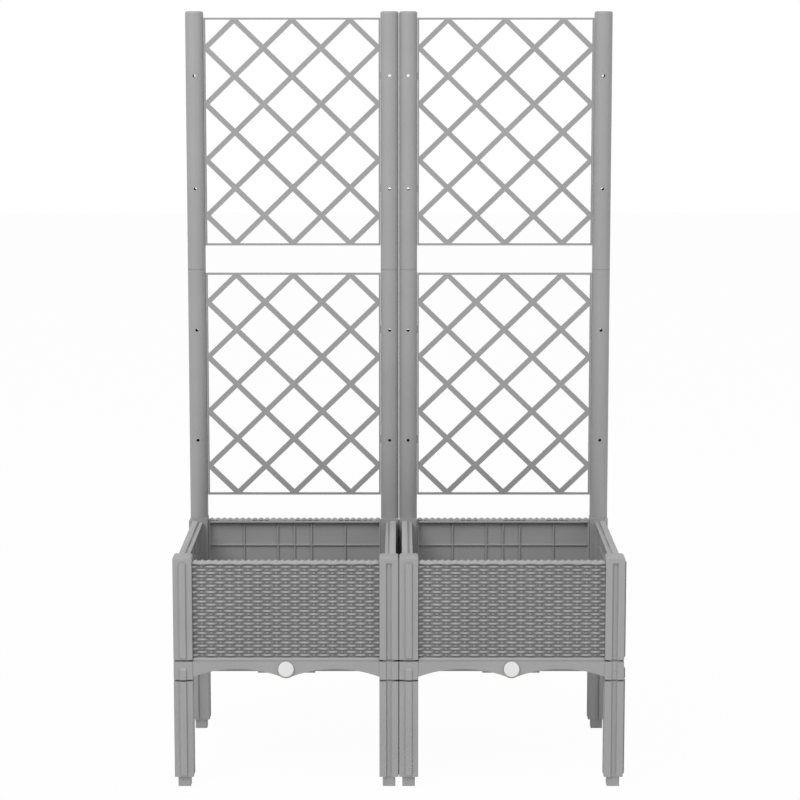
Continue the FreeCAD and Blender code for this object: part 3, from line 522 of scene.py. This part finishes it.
class MeshParts:
    """Points and faces that are gathered into one mesh."""

    def __init__(self):
        self.points = []
        self.faces = []

    def tube_of_rings(self, rings):
        """Join closed rings of equal size and close both ends."""
        start, count = len(self.points), len(rings[0])
        for ring in rings:
            self.points.extend(ring)
        for row in range(len(rings) - 1):
            for spot in range(count):
                after = (spot + 1) % count
                low, high = start + row * count, start + (row + 1) * count
                self.faces.append((low + spot, high + spot, high + after, low + after))
        self.faces.append(tuple(start + spot for spot in range(count)))
        last = start + (len(rings) - 1) * count
        self.faces.append(tuple(last + spot for spot in reversed(range(count))))

    def upright(self, outline, low, high):
        """A bar whose (x, y) outline is raised from one height to another."""
        self.tube_of_rings([[(x, y, z) for x, y in outline] for z in (low, high)])

    def level(self, outline, half):
        """A bar whose (y, z) outline runs across the panel."""
        self.tube_of_rings([[(x, y, z) for y, z in outline] for x in (-half, half)])

    def build(self, name, smooth_angle=math.radians(50)):
        """Make the mesh, with every shell's faces turned outward."""
        mesh = bpy.data.meshes.new(name)
        mesh.from_pydata(self.points, [], self.faces)
        mesh.validate()
        shells = bmesh.new()
        shells.from_mesh(mesh)
        bmesh.ops.recalc_face_normals(shells, faces=shells.faces)
        shells.to_mesh(mesh)
        shells.free()
        mesh.shade_smooth()
        mesh.set_sharp_from_angle(angle=smooth_angle)
        return mesh


def woven_float(parts, face, middle, level, size, height, rise, ground, clip):
    """One float: a strand that rises out of the ground, passes over a stake and dives."""
    stations, around = 8, 6
    rings = []
    for step in range(stations + 1):
        along = 2.0 * step / stations - 1.0
        x = middle + along * size / 2
        if abs(x) > clip:
            x = math.copysign(clip, x)
            along = (x - middle) / (size / 2)
        swell = 1.0 - abs(along) ** 2.2
        crest = -ground * FLOAT_DIVE + (rise + ground * FLOAT_DIVE) * swell
        half = height / 2 * (FLOAT_END + (1.0 - FLOAT_END) * swell ** 0.7)
        ring = []
        for spot in range(around + 1):
            turn = math.pi * (spot / around - 0.5)
            out = -ground * ROOT + (crest + ground * ROOT) * math.cos(turn) ** 0.9
            ring.append((x, -face - out, level + half * math.sin(turn)))
        if not rings or abs(rings[-1][0][0] - x) > 1e-6:
            rings.append(ring)
    if len(rings) > 1:
        parts.tube_of_rings(rings)


def stake_lump(parts, face, middle, level, width, height, rise, ground):
    """One visible stretch of a stake between two floats."""
    stations, around = 4, 4
    rings = []
    for step in range(stations + 1):
        along = 2.0 * step / stations - 1.0
        z = level + along * height / 2
        crest = -ground * STAKE_DIVE + (rise + ground * STAKE_DIVE) * (1.0 - along ** 2)
        ring = []
        for spot in range(around + 1):
            turn = math.pi * (spot / around - 0.5)
            out = -ground * ROOT + (crest + ground * ROOT) * math.cos(turn) ** 0.8
            ring.append((middle - width / 2 * math.sin(turn), -face - out, z))
        rings.append(ring)
    parts.tube_of_rings(rings)


def weave_mesh(bay, weave):
    """The woven field of one panel, as it stands at the front of its planter."""
    parts = MeshParts()
    repeat = 2 * bay.half / weave.repeats
    clip = bay.half - 0.4 * MM
    ground, rise = weave.ground_depth, weave.float_rise
    for row in range(-1, weave.rows + 1):
        level = weave.first_row + row * weave.row_pitch
        odd = row % 2
        size = weave.short_float if odd else weave.long_float
        for step in range(weave.repeats + 1 - odd):
            middle = (step + odd / 2) * repeat - bay.half
            woven_float(parts, bay.face, middle, level, size, weave.float_height, rise,
                        ground, clip)
        if row in (-1, weave.rows):
            continue
        for step in range(weave.repeats + odd):
            middle = (step + (1 - odd) / 2) * repeat - bay.half
            if abs(middle) < clip - weave.stake_width / 2:
                stake_lump(parts, bay.face, middle, level, weave.stake_width,
                           STAKE_STRETCH * weave.row_pitch, -weave.stake_drop, ground)
    return parts.build("woven_face")


def box_outline(first_low, second_low, first_high, second_high):
    """The corners of a box seen along one axis."""
    return [(first_low, second_low), (first_high, second_low),
            (first_high, second_high), (first_low, second_high)]


def panel_mesh(bay, panel, weave):
    """The wall, tongues, ribs and rim of one panel, as it stands at the front."""
    parts = MeshParts()
    half = bay.half - panel.play
    flange = half - panel.wall
    front = -bay.line - panel.wall_front
    inside = front + panel.wall
    back = -bay.line + panel.back
    top, rim_low = panel.height, panel.height - panel.rim_height
    parts.upright([(-half, front), (half, front), (half, back), (flange, back),
                   (flange, inside), (-flange, inside), (-flange, back), (-half, back)],
                  0.0, rim_low)
    thick = panel.tongue_width / 2
    for side in (-1, 1):
        ends = sorted((side * half, side * (bay.half + panel.tongue_reach)))
        parts.upright(box_outline(ends[0], -bay.line - thick, ends[1], -bay.line + thick),
                      0.0, panel.tongue_height)
    web_back = inside + panel.web_depth
    for steps in (-3, -1, 0, 1, 3):
        x, wide = steps * panel.web_pitch, panel.web_width / 2
        parts.upright(box_outline(x - wide, inside, x + wide, web_back), 0.0, rim_low)
    girt = top - panel.girt_drop
    parts.level(box_outline(inside, girt, web_back, girt + panel.web_width), flange)
    groove_front = -bay.line - panel.groove_front
    groove_back = groove_front + panel.groove_width
    floor, lip = top - panel.groove_depth, top - panel.lip_drop
    strip = top - weave.bead_rise / 2
    parts.level([(-bay.face, rim_low), (back, rim_low), (back, lip), (groove_back, lip),
                 (groove_back, floor), (groove_front, floor), (groove_front, strip),
                 (-bay.face, strip)], half)
    return parts.build("panel_body", math.radians(30))


def border_mesh(bay, panel, weave):
    """The beaded top border and the plain foot border of one panel."""
    parts = MeshParts()
    clip = bay.half - panel.play
    top, face = panel.height, -bay.face
    inner = -bay.line - panel.groove_front
    repeat = 2 * bay.half / weave.repeats
    beads, per_bead = round(2 * bay.half / weave.bead_pitch), 8
    pitch = 2 * clip / beads
    rings = []
    for step in range(beads * per_bead + 1):
        x = -clip + step * pitch / per_bead
        bead = (0.5 - 0.5 * math.cos(2 * math.pi * step / per_bead)) ** 0.8
        lobe = math.cos(2 * math.pi * (x + bay.half) / repeat)
        low = top - weave.lobe_middle + weave.lobe_swing * lobe
        tip = top + weave.bead_rise * (bead - 0.5)
        out = weave.border_rise + 0.3 * MM * bead
        rings.append([
            (x, face + 0.8 * weave.ground_depth, low),
            (x, face - 0.4 * out, low + 0.1 * MM),
            (x, face - out, low + 0.9 * MM),
            (x, face - out, tip - 2.2 * MM),
            (x, face - 0.75 * out, tip - 0.8 * MM),
            (x, face + 0.3 * MM, tip),
            (x, inner - 1.6 * MM, tip - 0.1 * MM),
            (x, inner - 0.3 * MM, tip - 0.7 * MM),
            (x, inner, tip - 1.6 * MM),
            (x, inner, top - panel.groove_depth),
        ])
    parts.tube_of_rings(rings)
    out, high = weave.border_rise, weave.foot_top
    parts.level([
        (face + 0.8 * weave.ground_depth, 0.1 * MM), (face - 0.5 * out, 0.1 * MM),
        (face - 0.6 * out, 1.0 * MM), (face - 0.6 * out, high - 1.2 * MM),
        (face - 0.2 * out, high - 0.2 * MM), (face + 0.8 * weave.ground_depth, high),
    ], clip)
    return parts.build("woven_border")


def weave_wall(mesh, front, material):
    """Give the wall's outer face, which shows between the floats, the woven finish and with it the
    painted valley shade.
    """
    mesh.materials.append(material)
    for face in mesh.polygons:
        if face.normal.y < -0.9 and abs(face.center.y - front) < 0.1 * MM:
            face.material_index = 1


def stand_pieces(mesh, title, panel, replace=False, rounding=None):
    """Stand one copy of a panel's mesh at every side of both planters."""
    for unit in UNITS:
        bay = Bay(unit, panel)
        for side, quarter in PANEL_SIDES:
            piece = bpy.data.objects.new(f"{unit}_{title}_{side}", mesh)
            bpy.context.scene.collection.objects.link(piece)
            piece.matrix_world = bay.place(quarter)
            if rounding:
                soften = piece.modifiers.new("edge_round", "BEVEL")
                soften.width, soften.segments = rounding, 2
                soften.limit_method, soften.angle_limit = "ANGLE", math.radians(40)
            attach(piece, "planter")
            if replace:
                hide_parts(f"{unit}_panel_{side}")


# Studio

FLOOR_REACH = 14.0
# How much of the floor the camera sees as plain white
FLOOR_LIFT = 0.97
# Name, power, diameter, place and aim of each lamp
LAMPS = (
    ("key_lamp", "key_power", 2.4, (-2.2, -3.2, 3.6), (0, 0, 0.7)),
    ("fill_lamp", "fill_power", 2.0, (2.8, -2.6, 2.0), (0, 0, 0.7)),
    ("top_lamp", "top_power", 3.0, (-0.6, -1.2, 4.3), (0, 0, 0.4)),
)


def stage_material(name, base, lift):
    """A matt studio surface; lift is how much of it the camera sees as plain white."""
    material, shader = new_material(name)
    tree = material.node_tree
    shader.inputs["Base Color"].default_value = base
    shader.inputs["Roughness"].default_value = 0.9
    shader.inputs["Specular IOR Level"].default_value = 0.0
    path = add_node(tree, "ShaderNodeLightPath", (0, 300))
    seen = add_math(tree, "MAXIMUM", (200, 300), path.outputs["Is Camera Ray"],
                    path.outputs["Is Glossy Ray"])
    seen = add_math(tree, "MAXIMUM", (350, 300), seen, path.outputs["Is Transmission Ray"])
    amount = add_math(tree, "MULTIPLY", (500, 300), seen, lift)
    glow = add_node(tree, "ShaderNodeEmission", (600, 450))
    mix = add_node(tree, "ShaderNodeMixShader", (800, 200))
    tree.links.new(amount, mix.inputs["Fac"])
    tree.links.new(shader.outputs["BSDF"], mix.inputs[1])
    tree.links.new(glow.outputs["Emission"], mix.inputs[2])
    output = next(node for node in tree.nodes if node.type == "OUTPUT_MATERIAL")
    tree.links.new(mix.outputs["Shader"], output.inputs["Surface"])
    return material


def add_lamp(name, power, size, place, aim):
    """A large soft lamp that looks at a point."""
    data = bpy.data.lights.new(name, "AREA")
    data.energy = power
    data.shape = "DISK"
    data.size = size
    lamp = bpy.data.objects.new(name, data)
    lamp.location = place
    lamp.rotation_euler = (Vector(aim) - Vector(place)).to_track_quat("-Z", "Y").to_euler()
    bpy.context.scene.collection.objects.link(lamp)


# Operators

class PLANTER_OT_mould_columns(bpy.types.Operator):
    """Give the columns, trays and caps their grained grey plastic"""

    bl_idname = "planter.mould_columns"
    bl_label = "Mould columns and trays"

    def execute(self, context):
        plastic = context.scene.planter_plastic
        grey, _ = grained("grained_grey_plastic", plastic.column_colour, plastic, 0.56)
        give_finish(nodes_named("_leg_", "_post_", "_tray"), grey)
        return {"FINISHED"}


class PLANTER_OT_draw_tubes(bpy.types.Operator):
    """Give the trellis tubes and their caps the drawn plastic"""

    bl_idname = "planter.draw_tubes"
    bl_label = "Draw tubes"

    def execute(self, context):
        plastic = context.scene.planter_plastic
        smooth = drawn("drawn_grey_plastic", plastic.tube_colour, plastic)
        give_finish(nodes_named("_tube_"), smooth)
        return {"FINISHED"}


class PLANTER_OT_mould_lattices(bpy.types.Operator):
    """Give the lattices their satin plastic"""

    bl_idname = "planter.mould_lattices"
    bl_label = "Mould lattices"

    def execute(self, context):
        plastic = context.scene.planter_plastic
        satin, _ = grained("satin_lattice_plastic", plastic.lattice_colour, plastic, 0.5,
                           edges=False, relief=0.6)
        give_finish(nodes_named("_lattice_"), satin)
        return {"FINISHED"}


class PLANTER_OT_mould_fittings(bpy.types.Operator):
    """Give the soil grids, drain plugs and washers their plastics"""

    bl_idname = "planter.mould_fittings"
    bl_label = "Mould fittings"

    def execute(self, context):
        plastic = context.scene.planter_plastic
        dark, _ = grained("dark_grid_plastic", plastic.grid_colour, plastic, 0.62)
        white, _ = grained("white_plug_plastic", plastic.plug_colour, plastic, 0.38, relief=0.3)
        rubber, _ = grained("black_washer_rubber", plastic.washer_colour, plastic, 0.8, relief=0.5)
        give_finish(nodes_named("_soil_grid"), dark)
        give_finish(nodes_named("_drain_plug"), white)
        give_finish(nodes_named("_drain_washer"), rubber)
        return {"FINISHED"}


class PLANTER_OT_weave_panels(bpy.types.Operator):
    """Make the side panels, weave their faces and bind them with their borders"""

    bl_idname = "planter.weave_panels"
    bl_label = "Weave panels"

    def execute(self, context):
        plastic, weave = context.scene.planter_plastic, context.scene.planter_weave
        panel = context.scene.planter_panel
        back, _ = grained("panel_back_plastic", plastic.woven_colour, plastic, 0.6, edges=False)
        bay = Bay(UNITS[0], panel)
        woven = woven_finish(plastic.woven_colour, plastic, weave, bay.face)
        body = panel_mesh(bay, panel, weave)
        body.materials.append(back)
        weave_wall(body, -bay.line - panel.wall_front, woven)
        stand_pieces(body, "panel_body", panel, replace=True, rounding=panel.edge_round)
        for title, mesh, finish in (("weave", weave_mesh(bay, weave), woven),
                                    ("border", border_mesh(bay, panel, weave), back)):
            mesh.materials.append(finish)
            stand_pieces(mesh, title, panel)
        return {"FINISHED"}


class PLANTER_OT_set_stage(bpy.types.Operator):
    """Set the floor, the lamps, the even sky and the camera"""

    bl_idname = "planter.set_stage"
    bl_label = "Set stage"

    def execute(self, context):
        studio = context.scene.planter_studio
        scene = context.scene
        mesh = bpy.data.meshes.new("floor")
        reach = FLOOR_REACH
        mesh.from_pydata([(-reach, -reach, 0), (reach, -reach, 0), (reach, reach, 0),
                          (-reach, reach, 0)], [], [(0, 1, 2, 3)])
        mesh.materials.append(stage_material("studio_floor", studio.floor_colour,
                                             FLOOR_LIFT))
        floor = bpy.data.objects.new("floor", mesh)
        scene.collection.objects.link(floor)

        world = bpy.data.worlds.new("studio_sky")
        scene.world = world
        world.use_nodes = True
        tree = world.node_tree
        tree.nodes.clear()
        path = add_node(tree, "ShaderNodeLightPath", (-600, 200))
        seen = add_math(tree, "MAXIMUM", (-500, 200), path.outputs["Is Camera Ray"],
                        path.outputs["Is Glossy Ray"])
        seen = add_math(tree, "MAXIMUM", (-350, 200), seen, path.outputs["Is Transmission Ray"])
        sky = add_node(tree, "ShaderNodeBackground", (-200, 100))
        sky.inputs["Strength"].default_value = studio.sky_strength
        white = add_node(tree, "ShaderNodeBackground", (-200, -100))
        mix = add_node(tree, "ShaderNodeMixShader", (0, 0))
        output = add_node(tree, "ShaderNodeOutputWorld", (200, 0))
        for node in (sky, white):
            node.inputs["Color"].default_value = (1.0, 1.0, 1.0, 1.0)
        tree.links.new(seen, mix.inputs["Fac"])
        tree.links.new(sky.outputs["Background"], mix.inputs[1])
        tree.links.new(white.outputs["Background"], mix.inputs[2])
        tree.links.new(mix.outputs["Shader"], output.inputs["Surface"])

        for name, power, size, place, aim in LAMPS:
            add_lamp(name, getattr(studio, power), size, place, aim)

        data = bpy.data.cameras.new("camera")
        data.sensor_width = 36.0
        data.sensor_fit = "HORIZONTAL"
        data.lens = studio.lens
        data.shift_y = studio.shift
        data.clip_end = 100.0
        camera = bpy.data.objects.new("camera", data)
        camera.location = (studio.offset, -studio.distance, studio.height)
        camera.rotation_euler = (math.pi / 2 - studio.tilt, 0.0, 0.0)
        scene.collection.objects.link(camera)
        scene.camera = camera
        scene.view_settings.view_transform = "Standard"
        return {"FINISHED"}


class PLANTER_PT_sidebar(bpy.types.Panel):
    """Sidebar panel with the sizes and the steps"""

    bl_idname = "PLANTER_PT_sidebar"
    bl_label = "Planter with trellis"
    bl_space_type = "VIEW_3D"
    bl_region_type = "UI"
    bl_category = "Planter"

    def draw(self, context):
        for name in SETTINGS:
            group = getattr(context.scene, name)
            box = self.layout.box()
            box.label(text=group.bl_rna.description)
            for entry in group.bl_rna.properties:
                if not entry.is_readonly and entry.identifier != "name":
                    box.prop(group, entry.identifier)
        for step in STEPS:
            self.layout.operator(step.bl_idname)


SETTINGS = {
    "planter_plastic": PlasticSizes,
    "planter_panel": PanelSizes,
    "planter_weave": WeaveSizes,
    "planter_studio": StudioSizes,
}
STEPS = (
    PLANTER_OT_set_stage,
    PLANTER_OT_mould_columns,
    PLANTER_OT_draw_tubes,
    PLANTER_OT_mould_lattices,
    PLANTER_OT_mould_fittings,
    PLANTER_OT_weave_panels,
)


def register():
    """Register the classes and hang the settings on the scene."""
    for item in (*SETTINGS.values(), *STEPS, PLANTER_PT_sidebar):
        bpy.utils.register_class(item)
    for name, group in SETTINGS.items():
        setattr(bpy.types.Scene, name, PointerProperty(type=group))


def unregister():
    """Take the settings and the classes away again."""
    for name in SETTINGS:
        delattr(bpy.types.Scene, name)
    for item in reversed((*SETTINGS.values(), *STEPS, PLANTER_PT_sidebar)):
        bpy.utils.unregister_class(item)


def main():
    """Dress the planter."""
    register()
    for step in STEPS:
        family, name = step.bl_idname.split(".")
        getattr(getattr(bpy.ops, family), name)()


if __name__ == "__main__":
    main()
